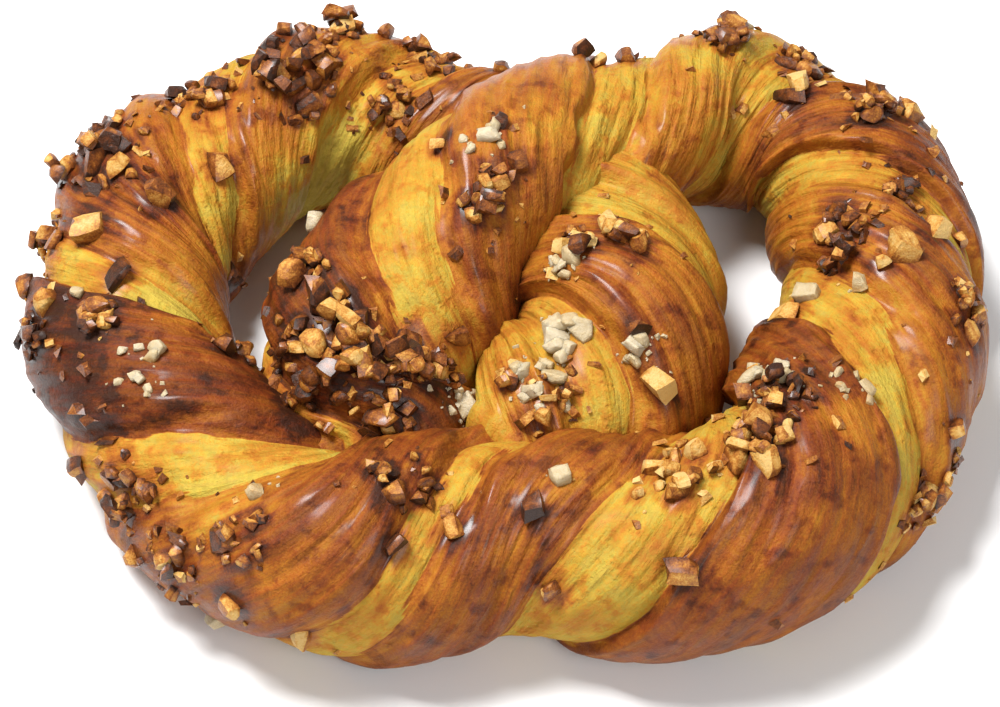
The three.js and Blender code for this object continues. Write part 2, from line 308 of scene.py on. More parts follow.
def relief(place, turn):
    """Skin at a place and at a turn counted with the strands: its height over the mean radius,
    how far it flaps sideways, how far inside the crust it is, and its row of crust_edges.

    The crust rises over a width that its sharpness gives, and is crowned by the sine of the part
    of it gone by. The yellow is a pillow of 1 - y^2, y counting from its middle. Ridges are one
    less twice the size of a noise. Slow swellings are sines of the place and of the angle."""
    place, turn = np.broadcast_arrays(np.asarray(place, float), turn)
    strand = np.floor(2 * (turn % 1)).astype(int) % 2
    across = 2 * (turn % 1) - strand
    rows = np.where(strand[..., None] == 0, crust_edges(place, 0), crust_edges(place, 1))
    start, end, _, crest, first_sharp, second_sharp = np.moveaxis(rows[..., :6], -1, 0)
    part = (across - start) / (end - start)
    rise = SHARP_EDGE + SOFT_EDGE * (1 - first_sharp)
    fall = SHARP_EDGE + SOFT_EDGE * (1 - second_sharp)
    level = ramp(0, 1, part / rise) * ramp(0, 1, (1 - part) / fall)
    crown = 1 - CROWN + CROWN * np.sin(math.pi * np.clip(part, 0, 1))
    yellow = np.where(across < 0.5, across / start, (1 - across) / (1 - end))
    pillow = PILLOW * np.clip(1 - yellow ** 2, 0, 1)
    grain = grain_at(place, turn)
    ridges = 1 - 2 * np.abs(noise(grain, RIDGE_CELL, 5))
    grooves = noise(grain, GROOVE_CELL, 7)
    lumps = layered_noise(grain * (1, 1, 3), LUMP_CELL, 3)
    crinkles = 1 - 2 * np.abs(layered_noise(grain * (1, 1, 2.4), CRINKLE_CELL, 17, 2))
    height = (CREST * crest + VALLEY) * level * crown - VALLEY + pillow
    fine = (RIDGES * ridges + GROOVES * grooves + CRINKLES * crinkles) * MM
    height = height + fine * (ON_YELLOW + (1 - ON_YELLOW) * level)
    height = height + LUMPS * lumps
    angle = TURN * (turn + along_route(place)[0][..., 4])
    height = height + UNEVEN * (np.sin(2.3 * place + 2 * angle) + 0.7 * np.sin(4.1 * place - angle + 1))
    flap = FLAP * level * (second_sharp ** 2 * ramp(0.75, 0.96, part)
                           - first_sharp ** 2 * ramp(0.25, 0.04, part))
    half_turn = math.pi * along_route(place)[0][..., 3]
    inside = np.minimum(across - start, end - across) * half_turn
    return height, flap, inside, rows


sample = relief(np.linspace(0, LAST, 200)[:, None], np.linspace(0, 1, 60))[0]
print("relief from", round(sample.min() / MM, 2), "to", round(sample.max() / MM, 2), "mm")

# %% [markdown]
# Last, the skin in space: the middle of the rope, plus its radius and relief in the direction of
# the angle. Underneath, the dough settled under its own weight, so there the relief is pressed
# flatter, and whatever would lie under the table is pressed up to it round a small corner.

# %% The skin in space
SETTLED = 0.75
TABLE_CORNER = 1.2 * MM


def skin_at(place, turn, scale=1.0, ahead=0.0):
    """A point of the rope's skin: the middle of the rope, plus its reach times left by the cosine
    and up by the sine of the angle. Scale and ahead round the ends. Last the table: z becomes half
    of z plus the root of z^2 and the corner's square. Then the way outward, and relief's last two."""
    middle, along, left, upper, radius, turns = rope_at(place)
    height, flap, inside, rows = relief(place, turn)
    angle = TURN * (turn + turns) + flap / radius
    pressed = 1 - SETTLED * np.maximum(0, -np.sin(angle))
    reach = scale * (radius + pressed * height)
    outward = left * np.cos(angle)[..., None] + upper * np.sin(angle)[..., None]
    point = middle + reach[..., None] * outward + along * np.asarray(ahead)[..., None]
    point[..., 2] = (point[..., 2] + np.hypot(point[..., 2], TABLE_CORNER)) / 2
    return point, outward, inside, rows


print("skin on top at place 3:", skin_at(3.0, 0.25 - along_route(3.0)[0][4])[0].round(4))

# %% [markdown]
# The toppings come before the dough, because sugar melts round them: near a heap the crust is
# darker and stickier, and the dough needs to know where the heaps are. Each heap has a place on
# the route, an angle round the rope in degrees, a reach, a count, its largest piece, and a tone
# from 0 for fresh pale nuts to 1 for nearly burnt ones. They could be strewn by a particle system,
# but the heaps are where the photo shows them, so the lists say where, and only the pieces within
# a heap are drawn from seeded numbers.

# %% Where the nuts and the sugar lie
NUT_HEAPS = [
    [6.96, 81, 7, 18, 5.8, 0.72], [6.45, 125, 3, 4, 5.4, 0.55], [6.0, 62, 4, 5, 4.8, 0.65],
    [5.6, 128, 4, 5, 5.4, 0.65], [7.7, 100, 4, 6, 4.8, 0.6], [8.65, 122, 6.5, 14, 5.8, 0.62],
    [9.2, 168, 2, 4, 5.0, 0.5], [10.45, 108, 2.5, 4, 5.2, 0.6], [10.2, 150, 2.5, 4, 4.8, 0.8],
    [11.0, 40, 3, 4, 4.8, 0.65], [11.45, 155, 4, 10, 4.8, 0.65], [11.9, 170, 4, 5, 4.4, 0.5],
    [12.4, 135, 4, 4, 4.6, 0.55], [25.75, 96, 7, 15, 5.8, 0.6], [25.6, 54, 6, 11, 5.2, 0.7],
    [26.8, 85, 4, 7, 4.8, 0.6], [25.1, 125, 3, 4, 5.2, 0.5], [23.8, 67, 3, 6, 5.0, 0.55],
    [2.33, 78, 5, 6, 5.2, 0.35], [0.5, 95, 6, 6, 4.8, 0.4], [15.7, 85, 5, 10, 5.8, 0.45],
    [15.2, 84, 5, 5, 5.6, 0.3], [16.2, 70, 5, 10, 4.6, 0.7], [21.0, 108, 3, 6, 5.2, 0.6],
    [20.25, 120, 3, 4, 5.2, 0.65], [19.3, 105, 3, 7, 5.2, 0.6], [18.4, 100, 2.5, 4, 4.4, 0.75],
    [17.8, 65, 3, 6, 5.0, 0.7], [17.5, 135, 2.5, 5, 4.8, 0.45], [16.6, 175, 3.5, 5, 4.6, 0.4],
    [13.4, 88, 3, 5, 4.8, 0.65], [26.15, 108, 8, 12, 4.8, 0.6], [26.3, 138, 5, 8, 4.6, 0.7],
]
SINGLE_NUTS = [
    [9.04, 75, 7.2, 0.6], [9.46, 111, 7.0, 0.42], [8.25, 54, 4.8, 0.45], [9.1, -5, 4.2, 0.5],
    [10.04, 135, 5.8, 0.15], [12.5, 165, 5.2, 0.45], [12.83, 183, 5.2, 0.3], [25.92, 18, 4.8, 0.45],
    [25.08, 36, 5.0, 0.45], [2.96, 30, 6.0, 0.22], [1.17, 129, 6.6, 0.15], [17.25, 35, 6.4, 0.4],
    [15.08, 141, 5.2, 0.6], [14.17, 108, 5.2, 0.8], [13.29, 119, 5.0, 0.8],
    [13.62, 114, 5.2, 0.6], [14.33, 153, 4.8, 0.6], [22.04, 135, 5.0, 0.4],
    [20.1, 75, 5.2, 0.4], [19.25, 129, 6.2, 0.15], [18.04, 114, 7.0, 0.25],
    [18.12, 63, 5.6, 0.7], [17.92, 57, 5.6, 0.5], [17.75, 96, 5.8, 0.4],
    [6.88, 120, 4.6, 0.6], [6.44, 122, 6.4, 0.3], [6.08, 132, 5.0, 0.6], [5.84, 134, 5.4, 0.65],
    [4.96, 113, 4.0, 0.7], [6.64, 83, 6.0, 0.35], [7.8, 126, 5.8, 0.7], [7.6, 98, 3.6, 0.8],
    [8.4, 142, 4.0, 0.8], [8.88, 140, 5.0, 0.6], [9.68, 163, 5.4, 0.5], [9.4, 140, 5.2, 0.6],
    [9.96, 92, 5.0, 0.85], [11.0, 174, 5.0, 0.75], [11.28, 173, 5.0, 0.6],
    [11.64, 180, 4.4, 0.6], [22.2, 131, 5.6, 0.65], [21.84, 122, 4.6, 0.7], [20.88, 120, 6.2, 0.6],
    [20.2, 130, 5.4, 0.65], [20.04, 83, 4.4, 0.3], [19.24, 104, 4.6, 0.55], [16.92, 160, 4.6, 0.45],
    [16.52, 175, 4.0, 0.6], [18.16, 143, 4.2, 0.5], [17.96, 71, 5.2, 0.75], [17.6, 89, 4.2, 0.35],
    [23.32, 86, 3.8, 0.75], [23.48, 62, 4.6, 0.7], [23.72, 62, 4.0, 0.65], [24.0, 68, 3.8, 0.45],
    [24.04, 60, 4.0, 0.5], [23.68, 107, 4.2, 0.45], [2.24, 74, 5.4, 0.3], [2.16, 98, 5.0, 0.3],
    [1.44, 110, 5.0, 0.75], [2.08, 29, 5.2, 0.3],
]
SUGAR_HEAPS = [
    [10.12, 117, 0, 1, 4.2, 0.3], [10.96, 96, 3, 4, 4.4, 0.3], [12.33, 108, 0, 1, 4.8, 0.4],
    [12.21, 207, 0, 1, 4.2, 0.3], [24.54, 156, 0, 1, 5.2, 0.2], [26.67, 33, 3, 3, 5.6, 0.1],
    [23.5, 84, 2, 2, 4.8, 0.3], [2.0, 66, 2, 2, 5.4, 0.3], [1.1, 80, 4, 6, 6.4, 0.3],
    [0.6, 90, 4, 5, 5.4, 0.3], [1.33, 114, 1.5, 2, 5.2, 0.2], [16.45, 60, 3, 5, 5.0, 0.3],
    [17.42, 48, 0, 1, 4.8, 0.3], [16.6, 99, 3, 2, 4.4, 0.5], [14.33, 90, 0, 1, 4.8, 0.4],
    [20.79, 129, 0, 1, 5.2, 0.1], [17.5, 78, 0, 1, 5.2, 0.4],
]
print("heaps", len(NUT_HEAPS) + len(SUGAR_HEAPS), "single nuts", len(SINGLE_NUTS))

# %% The pieces of a heap
SMALLEST = 0.6           # of a heap's largest piece
SHRINKS_ON = 1.3         # extra pieces go on shrinking to this many times that fall
EXTRA_REACH = 1.5        # and lie this much further out
SEEDS_A_HEAP = 100


def heap_pieces(heaps, first_seed, added, shrink):
    """One row for each piece of the heaps: its place, its turn with the strands, its size, its
    tone, and its generator. A piece lies at reach times the root of a draw from the heap's
    middle, in a drawn direction, and sizes fall evenly from the largest to SMALLEST of it. A heap
    gets some small pieces added beyond its count, and every size is shrunk a little."""
    rows = []
    for number, (place, degrees, reach, count, size, tone) in enumerate(heaps):
        for i in range(count + added * (count > 1)):
            draw = seeded(first_seed + SEEDS_A_HEAP * number + i)
            away, bearing = reach * MM * math.sqrt(draw()), TURN * draw()
            away *= 1.0 if i < count else EXTRA_REACH
            there = min(max(place + away * math.cos(bearing) * LAST / ROPE_LENGTH, 0), LAST)
            sideways = away * math.sin(bearing) / float(along_route(place)[0][3])
            here = float(along_route(there)[0][4])
            fallen = min(i / max(count - 1, 1), SHRINKS_ON)
            piece_size = shrink * size * MM * (1 - (1 - SMALLEST) * fallen)
            turn = (math.radians(degrees) + sideways) / TURN - here
            rows.append((there, turn, piece_size, tone, draw))
    return rows


SINGLES = [[place, degrees, 0, 1, size, tone] for place, degrees, size, tone in SINGLE_NUTS]
nut_pieces = heap_pieces(NUT_HEAPS + SINGLES, first_seed=0, added=9, shrink=0.9)
sugar_pieces = heap_pieces(SUGAR_HEAPS, first_seed=50000, added=4, shrink=0.78)
print("nuts", len(nut_pieces), "sugar", len(sugar_pieces))

# %% [markdown]
# Every topping is a broken lump. It could be one block copied about, but broken nuts are all
# different, so each is a cube of its own: the corners are pushed in by their own draws, the top is
# narrowed to a wedge, and flat breaks take pieces off. All the lumps of one kind are computed at
# once, as pieces by points by coordinates.

# %% Broken cubes
NEARLY_ONE = 0.999


def cube_grid(steps):
    """A cube's six faces as grids of steps by steps, from -1 to 1, with the points that faces
    share merged. Returns the points, the quads, and 1 for points on the cube's edges, else 0."""
    line = np.linspace(-1, 1, steps + 1)
    a, b = (g.ravel() for g in np.meshgrid(line, line, indexing="ij"))
    one = np.ones_like(a)
    sides = [(one, a, b), (-one, b, a), (b, one, a), (a, -one, b), (a, b, one), (b, a, -one)]
    points = np.concatenate([np.stack(side, axis=-1) for side in sides])
    cell = (np.arange(steps)[:, None] * (steps + 1) + np.arange(steps)).ravel()
    quads = np.stack([cell, cell + steps + 1, cell + steps + 2, cell + 1], axis=-1)
    quads = np.concatenate([quads + k * len(a) for k in range(6)])
    _, kept, merged = np.unique(np.round(points, 6), axis=0, return_index=True, return_inverse=True)
    points = points[kept]
    on_edge = ((np.abs(points) > NEARLY_ONE).sum(axis=1) > 1).astype(float)
    return points, merged.ravel()[quads], on_edge


def turned_by(tilts):
    """Rotation matrices for tilts about x, then y, then z: the three plane rotations multiplied."""
    (cx, cy, cz), (sx, sy, sz) = np.cos(tilts).T, np.sin(tilts).T
    return np.stack([
        np.stack([cy * cz, -cy * sz, sy], axis=-1),
        np.stack([cx * sz + sx * sy * cz, cx * cz - sx * sy * sz, -sx * cy], axis=-1),
        np.stack([sx * sz - cx * sy * cz, sx * cz + cx * sy * sz, cx * cy], axis=-1)], axis=1)


CORNERS = np.array([[x, y, z] for x in (-1, 1) for y in (-1, 1) for z in (-1, 1)], float)
CORNER_DRAWS = 24
SHAPE_DRAWS = CORNER_DRAWS + 2
BREAK_DRAWS = 3
WEDGE = 0.6
BREAK_NEAREST, BREAK_SPAN = 0.35, 0.45


def broken_cubes(draws, steps, chipped, rounded, breaks):
    """Points (pieces, points, 3) of cubes of half side 1, broken by rows of draws from 0 to 1.

    Each corner moves in by up to the share chipped, and the top also narrows by up to WEDGE. Points
    between are blended by the products of (1 + corner times coordinate) / 2. A break presses
    whatever lies beyond its plane back onto it. Last, each goes 0.4 to 1.6 of the share rounded
    towards a ball."""
    cube, quads, on_edge = cube_grid(steps)
    pieces = len(draws)
    corners = CORNERS * (1 - chipped * draws[:, :CORNER_DRAWS].reshape(pieces, 8, 3))
    narrow = 1 - WEDGE * draws[:, CORNER_DRAWS:SHAPE_DRAWS]
    corners[:, CORNERS[:, 2] > 0, :2] *= narrow[:, None]
    weights = np.prod((1 + cube[:, None] * CORNERS[None]) / 2, axis=-1)
    body = np.einsum("vc,pci->pvi", weights, corners)
    for k in range(breaks):
        first = SHAPE_DRAWS + BREAK_DRAWS * k
        up, bearing, depth = draws[:, first: first + BREAK_DRAWS].T
        up = 2 * up - 1
        flat = np.sqrt(1 - up ** 2)
        normal = np.stack([flat * np.cos(TURN * bearing), flat * np.sin(TURN * bearing), up], axis=-1)
        away = (BREAK_NEAREST + BREAK_SPAN * depth)[:, None]
        beyond = np.einsum("pvi,pi->pv", body, normal) - away
        body = body - np.maximum(beyond, 0)[..., None] * normal[:, None]
    ball = unit(body) * np.linalg.norm(body, axis=-1).mean(axis=1)[:, None, None]
    share = rounded * (0.4 + 1.2 * draws[:, SHAPE_DRAWS + BREAK_DRAWS * breaks, None, None])
    return body + share * (ball - body), quads, on_edge


print("a cube of 3 by 3 by 3 has", len(cube_grid(3)[0]), "points and", len(cube_grid(3)[1]), "quads")

# %% [markdown]
# Each lump is then set on the skin. A shrinkwrap modifier could press them all onto it, but it
# would bend them. Here each keeps its shape: it is turned to the skin's own directions, tilted a
# little as it fell, sunk at its foot, and raised where larger ones already lie.

# %% Lumps set on the skin
TILT_DRAWS = STRETCH_DRAWS = 3
LARGEST_TILT = 1.3       # radians, half of it to either side
TOUCHING = 0.35          # two lie on each other when closer than this share of their sizes
MOST_PILED = 2


def lumps_on_skin(pieces, sides, lift, steps, chipped, rounded, breaks=2, piled=0.3):
    """Broken cubes stretched to their sides, each set on the skin along, sideways and outward,
    tilted a little, and raised by the share piled for up to two larger ones that lie there.
    Last comes how high each point is over the skin, as a share of the size."""
    needed = SHAPE_DRAWS + BREAK_DRAWS * breaks + 1 + TILT_DRAWS + STRETCH_DRAWS
    draws = np.array([[draw() for _ in range(needed)] for *_, draw in pieces])
    body, quads, on_edge = broken_cubes(draws, steps, chipped, rounded, breaks)
    place, turn, size = np.array([row[:3] for row in pieces]).T
    stretched = size[:, None] / 2 * sides * (0.75 + 0.5 * draws[:, -STRETCH_DRAWS:])
    tilts = draws[:, -TILT_DRAWS - STRETCH_DRAWS:-STRETCH_DRAWS] - (0.5, 0.5, 0)
    tilts = tilts * (LARGEST_TILT, LARGEST_TILT, TURN)
    seat, outward, _, _ = skin_at(place, turn)
    along = rope_at(place)[1]
    axes = np.stack([along, np.cross(outward, along), outward], axis=-1)
    body = np.einsum("pij,pjk,pvk->pvi", axes, turned_by(tilts), body * stretched[:, None])
    gap = np.linalg.norm(seat[:, None] - seat[None], axis=-1)
    larger = size > size[:, None]
    below = np.sum((gap < TOUCHING * (size[:, None] + size)) & larger, axis=1)
    seat = seat + outward * ((lift + piled * np.minimum(below, MOST_PILED)) * size)[:, None]
    raised = np.einsum("pvi,pi->pv", body, outward) / size[:, None]
    return seat[:, None] + body, quads, on_edge, raised + lift


def joined(points, quads):
    """Many lumps as one: the quads of lump i are counted on by i times the points of one lump."""
    counts = np.arange(len(points))[:, None, None] * points.shape[1]
    return points.reshape(-1, 3), (quads[None] + counts).reshape(-1, 4)


# %% [markdown]
# Every piece reaches Blender the same way. Its object stays at the origin and its place is in its
# mesh, it rides on the one body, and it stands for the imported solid. What the finish needs to know
# about a point or a face goes along as a named attribute.

# %% From arrays to pieces
def mesh_piece(name, points, faces, attributes, smooth=True):
    """One object from points and faces, with a float or vector attribute for each given array:
    on the points if it has as many rows as they have, else on the faces."""
    mesh = bpy.data.meshes.new(name)
    mesh.from_pydata(points.tolist(), [], faces.tolist() if hasattr(faces, "tolist") else faces)
    for label, values in attributes.items():
        kind, field = ("FLOAT", "value") if values.ndim == 1 else ("FLOAT_VECTOR", "vector")
        layer = mesh.attributes.new(label, kind, "POINT" if len(values) == len(points) else "FACE")
        layer.data.foreach_set(field, values.astype(np.float32).ravel())
    mesh.polygons.foreach_set("use_smooth", np.full(len(mesh.polygons), smooth))
    mesh.update()
    piece = bpy.data.objects.new(name, mesh)
    bpy.context.scene.collection.objects.link(piece)
    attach(piece, "root")
    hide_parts("pretzel")
    print(name, len(points), "points", len(faces), "faces")
    return piece


# %% [markdown]
# The nuts were chopped with a knife and toasted in the oven: flat broken faces, sharp edges, and
# every side another brown. The finish alone could mottle them, but then a heap melts into one
# lump. So a tone is worked out here by piece and by side, darker along the edges, which toast
# first, and darker at the foot, where syrup has run in.

# %% The chopped nuts
NUT_SIDES = (1.4, 1.05, 0.8)
NUT_STEPS = 3
PIECE_TONES, PIECE_MIDDLE = 0.5, 0.6
SIDE_TONES, SIDE_MIDDLE = 0.5, 0.65
EDGE_DARKER, FOOT_DARKER = 0.14, 0.4
SHARP_FROM = math.radians(20)
points, quads, on_edge, raised = lumps_on_skin(
    nut_pieces, NUT_SIDES, lift=0.14, steps=NUT_STEPS, chipped=0.65, rounded=0.28, breaks=3,
    piled=0.35)
tones = np.array([row[3] for row in nut_pieces])
nut_draw = np.random.default_rng(3).random((len(nut_pieces), 7))
nut_tone = tones[:, None] + PIECE_TONES * (nut_draw[:, :1] - PIECE_MIDDLE) + EDGE_DARKER * on_edge
nut_tone = nut_tone + FOOT_DARKER * (1 - ramp(-0.05, 0.3, raised))
side_tone = np.repeat(SIDE_TONES * (nut_draw[:, 1:] - SIDE_MIDDLE), NUT_STEPS ** 2, axis=1)
nut_points, nut_quads = joined(points, quads)
nuts = mesh_piece("nuts", nut_points, nut_quads,
                  {"tone": nut_tone.ravel(), "side": side_tone.ravel()})
nuts.data.set_sharp_from_angle(angle=SHARP_FROM)

# %% [markdown]
# Pearl sugar is pressed into hard lumps that don't melt, but the oven rounds their corners and
# leaves them rough. They are the same broken cubes with more points, and a fine noise moves each
# point to or from the middle of its lump. At the foot they take on the brown of the syrup.

# %% The pearl sugar
SUGAR_SIDES = (1.3, 1.1, 0.9)
SUGAR_ROUGH, SUGAR_CELL = 0.2, 1.3 * MM
SUGAR_TONES, SUGAR_FOOT = 0.5, 0.5
points, quads, _, raised = lumps_on_skin(
    sugar_pieces, SUGAR_SIDES, lift=0.1, steps=6, chipped=0.45, rounded=0.3, breaks=3, piled=0.15)
flat_points, sugar_quads = joined(points, quads)
middles = np.repeat(points.mean(axis=1), points.shape[1], axis=0)
rough = 1 + SUGAR_ROUGH * layered_noise(flat_points, SUGAR_CELL, 71, 2)
sugar_points = middles + (flat_points - middles) * rough[:, None]
sugar_draw = np.random.default_rng(5).random(len(sugar_pieces))
sugar_tone = np.array([row[3] for row in sugar_pieces]) + SUGAR_TONES * (sugar_draw - 0.5)
foot_tone = SUGAR_FOOT * (1 - ramp(-0.1, 0.25, raised))
sugar = mesh_piece("sugar", sugar_points, sugar_quads,
                   {"tone": (sugar_tone[:, None] + foot_tone).ravel()})

# %% [markdown]
# Crumbs and flakes of nut lie round every heap, and a few more all over. They are far too small to
# make one by one, so each is a broken cube of only six faces, thrown near a nut by seeded draws.

# %% The crumbs
chooser = np.random.default_rng(11)


def strewn(parents, count, spread, least, more, first_seed):
    """Rows of small pieces, each thrown from a drawn parent by two normal draws of the spread in
    mm, ahead and aside. Its size in mm is least plus more times the square of a draw."""
    rows = []
    for number, parent in enumerate(chooser.integers(0, len(parents), count)):
        place, turn, _, tone, _ = parents[parent]
        ahead, aside = chooser.normal(0, spread, 2) * MM
        there = float(np.clip(place + ahead * LAST / ROPE_LENGTH, 0, LAST))
        wound = float(along_route(there)[0][4] - along_route(place)[0][4])
        turn = turn - wound + aside / float(along_route(there)[0][3]) / TURN
        size = (least + more * chooser.random() ** 2) * MM
        rows.append((there, turn, size, tone, seeded(first_seed + number)))
    return rows


CRUMBS = 560
CRUMB_SIDES = (1.5, 1.0, 0.5)
CRUMB_TONES, CRUMB_SIDE_TONES = 0.6, 0.5
crumb_pieces = strewn(nut_pieces, CRUMBS, spread=4.5, least=0.7, more=2.2, first_seed=90000)
points, quads, _, _ = lumps_on_skin(
    crumb_pieces, CRUMB_SIDES, lift=0.12, steps=1, chipped=0.55, rounded=0.0)
crumb_tone = np.array([row[3] for row in crumb_pieces]) + CRUMB_TONES * (chooser.random(CRUMBS) - 0.5)
crumb_points, crumb_quads = joined(points, quads)
side_tone = CRUMB_SIDE_TONES * (chooser.random(len(crumb_quads)) - 0.5)
crumb_tone = np.repeat(crumb_tone, points.shape[1])
crumbs = mesh_piece("crumbs", crumb_points, crumb_quads, {"tone": crumb_tone, "side": side_tone},
                    smooth=False)

# %% [markdown]
# Fine grains of sugar fall off the pearls and stick round them. They are too small to show a shape
# of their own, so they are strewn like the crumbs, from the same six-faced cubes.

# %% The sugar grains
GRAINS = 150
grain_pieces = strewn(sugar_pieces, GRAINS, spread=2.4, least=0.4, more=0.8, first_seed=120000)
points, quads, _, _ = lumps_on_skin(
    grain_pieces, SUGAR_SIDES, lift=0.05, steps=1, chipped=0.4, rounded=0.0)
grain_points, grain_quads = joined(points, quads)
grain_tone = np.repeat([row[3] for row in grain_pieces], points.shape[1])
sugar_grains = mesh_piece("sugar_grains", grain_points, grain_quads, {"tone": grain_tone},
                          smooth=False)

# %% [markdown]
# The dough is one closed grid: rings along the rope by columns round it. The columns follow the
# two strands, close together at the edges of the crust, so that a torn edge stays crisp instead of
# running across the faces. Each end is closed by rings on a quarter of an ellipse: at angle b they
# are cos(b) as wide, and END_REACH sin(b) radii further out, up to a pole. Where the rope crosses
# itself the skin passes through itself, and the overlap is hidden inside.

# %% The dough
RINGS = 690
CAP_RINGS = 12
END_REACH = 0.55
YELLOW_COLUMNS = 9
CRUST_COLUMNS = 50
CROWDING = 0.1


def column_turns(place):
    """Turns of the columns at each place: for a strand, evenly over its first yellow half, then
    over its crust by t less CROWDING times sin(2 pi t), which crowds them at the edges, and evenly
    over the second yellow half."""
    even = np.arange(YELLOW_COLUMNS) / YELLOW_COLUMNS
    t = np.linspace(0, 1, CRUST_COLUMNS)
    crowded = t - CROWDING * np.sin(TURN * t)
    turns = []
    for strand in (0, 1):
        start, end = (crust_edges(place, strand)[:, k, None] for k in (0, 1))
        across = np.concatenate([start * even, start + (end - start) * crowded,
                                 end + (1 - end) * even[1:]], axis=1)
        turns.append((strand + across) / 2)
    return np.concatenate(turns, axis=1)


body_places = np.interp(np.linspace(0, ROPE_LENGTH, RINGS), DISTANCES, finely)
bends = np.linspace(0, math.pi / 2, CAP_RINGS + 1)[1:-1]
first_cap, last_cap = np.zeros(len(bends)), np.full(len(bends), float(LAST))
places = np.concatenate([first_cap, body_places, last_cap])
scales = np.concatenate([np.cos(bends[::-1]), np.ones(RINGS), np.cos(bends)])
first_reach, last_reach = (END_REACH * along_route(end)[0][3] for end in (0, LAST))
aheads = np.concatenate([-first_reach * np.sin(bends[::-1]), np.zeros(RINGS),
                         last_reach * np.sin(bends)])
turns = column_turns(places)
skin, _, inside, rows = skin_at(places[:, None], turns, scales[:, None], aheads[:, None])
rings, columns = turns.shape
print("dough", rings, "rings by", columns, "columns")

# %% [markdown]
# The grid becomes faces: a quad for each step along and round, and a fan of triangles from each
# pole to its ring. The last column joins the first, so the skin has no seam.

# %% The dough's faces
ring_index = np.arange(rings)[:, None] * columns
j = np.arange(columns)
following = (j + 1) % columns
quads = np.stack(np.broadcast_arrays(ring_index[:-1] + j, ring_index[:-1] + following,
                                     ring_index[1:] + following, ring_index[1:] + j), axis=-1)
first_pole, last_pole = rings * columns, rings * columns + 1
last_ring = ring_index[-1, 0]
faces = quads.reshape(-1, 4).tolist()
faces += [[first_pole, b, a] for a, b in zip(j.tolist(), following.tolist())]
faces += [[last_pole, a, b] for a, b in zip((last_ring + j).tolist(), (last_ring + following).tolist())]
poles = np.array([rope_at(0)[0] - rope_at(0)[1] * first_reach,
                  rope_at(LAST)[0] + rope_at(LAST)[1] * last_reach])
dough_points = np.vstack([skin.reshape(-1, 3), poles])
print("dough faces", len(faces))

# %% [markdown]
# How brown a spot of the dough is depends on its band, on how far it is from the band's edges, and
# on the nearest heap. All of that goes into attributes of the points, which the shader reads and
# breaks up with finer noise.

# %% What the shader reads
def with_poles(values):
    """A grid's values as one row, and the mean of the first and of the last ring for the poles."""
    tail = values.shape[2:]
    return np.concatenate([values.reshape((-1,) + tail), values[:1].mean(axis=1),
                           values[-1:].mean(axis=1)])


def nearness(points, spots, reaches):
    """1 at a spot and falling to 0: the greatest of exp(-(distance / reach)^2) over the spots."""
    near = np.zeros(len(points))
    for spot, reach in zip(spots, reaches):
        gap = ((points - spot) ** 2).sum(axis=1)
        near = np.maximum(near, np.exp(-gap / reach ** 2))
    return near


nut_spots = nut_points.reshape(len(nut_pieces), -1, 3).mean(axis=1)
caramel = nearness(dough_points, nut_spots, [row[2] for row in nut_pieces])
print("share of the dough near nuts", round(float((caramel > 0.5).mean()), 3))

# %% [markdown]
# The oven never browns evenly. Noise alone makes even mottle, so a short list adds the patches
# that came out darker or paler: place, degrees, reach in mm, and change of browning. The last two
# are painted light: paler patches on the dough that lies in shade under the loop.

# %% Patches the oven reached more or less, and painted light under the loop
OVEN_AND_PAINTED_LIGHT_PATCHES = [
    [12.1, 130, 8, -0.30], [10.64, 134, 10, 0.16], [10.28, 56, 9, -0.12], [9.24, 89, 9, 0.10],
    [8.88, 119, 9, 0.10], [7.96, 92, 7, 0.10], [16.36, 101, 5, -0.14], [17.04, 77, 5, 0.14],
    [15.92, 95, 6, 0.08], [18.64, 89, 8, 0.12], [24.32, 140, 8, 0.16], [21.36, 80, 10, -0.08],
    [23.2, 83, 9, -0.06], [14.4, 92, 12, -0.05], [0.92, 125, 7, -0.08], [17.8, 89, 9, -0.04],
    [26.0, 137, 9, 0.14], [26.6, 137, 9, 0.14], [25.2, 150, 7, 0.10], [16.6, 125, 9, -0.08],
    [7.7, 35, 8, -0.08], [9.4, 45, 8, -0.08], [10.5, 62, 11, -0.20], [10.9, 132, 9, 0.10],
    # the last two rows are painted light: paler patches on dough that lies in shade under the loop
    [7.04, 2, 10, -0.36], [7.6, 2, 9, -0.3],
]
patch_and_painted_light = np.zeros(len(dough_points))
for place, degrees, reach, change in OVEN_AND_PAINTED_LIGHT_PATCHES:
    middle = skin_at(place, math.radians(degrees) / TURN - along_route(place)[0][4])[0]
    patch_and_painted_light += change * nearness(dough_points, [middle], [reach * MM])
print("patches change browning by", patch_and_painted_light.min().round(2), "to", patch_and_painted_light.max().round(2))

# %% The dough as a piece
dough = mesh_piece("dough", dough_points, faces, {
    "grain": with_poles(grain_at(places[:, None], turns)), "edge": with_poles(inside) / MM,
    "bake": with_poles(rows[..., 6]), "fade": with_poles(rows[..., 7]),
    "caramel": caramel, "patch_and_painted_light": patch_and_painted_light})

# %% [markdown]
# Finishes. Baked dough goes through one row of colours as it browns: pale yellow, golden, tan,
# red-brown, dark brown. So one ramp colours all of it, and the work is in the number that picks
# the colour. The same goes for nuts. A shader node group holds what several finishes share.

# %% Small helpers for nodes
def new_material(name):
    """A material with a Principled BSDF: the material, its node tree, and the shader node."""
    material = bpy.data.materials.new(name)
    material.use_nodes = True
    return material, material.node_tree, material.node_tree.nodes["Principled BSDF"]


def add(tree, kind, inputs=None, **settings):
    """A new node with its settings and inputs; an input is a value or another node's output."""
    node = tree.nodes.new(kind)
    for name, value in settings.items():
        setattr(node, name, value)
    for name, value in (inputs or {}).items():
        if isinstance(value, bpy.types.NodeSocket):
            tree.links.new(value, node.inputs[name])
        else:
            node.inputs[name].default_value = value
    return node


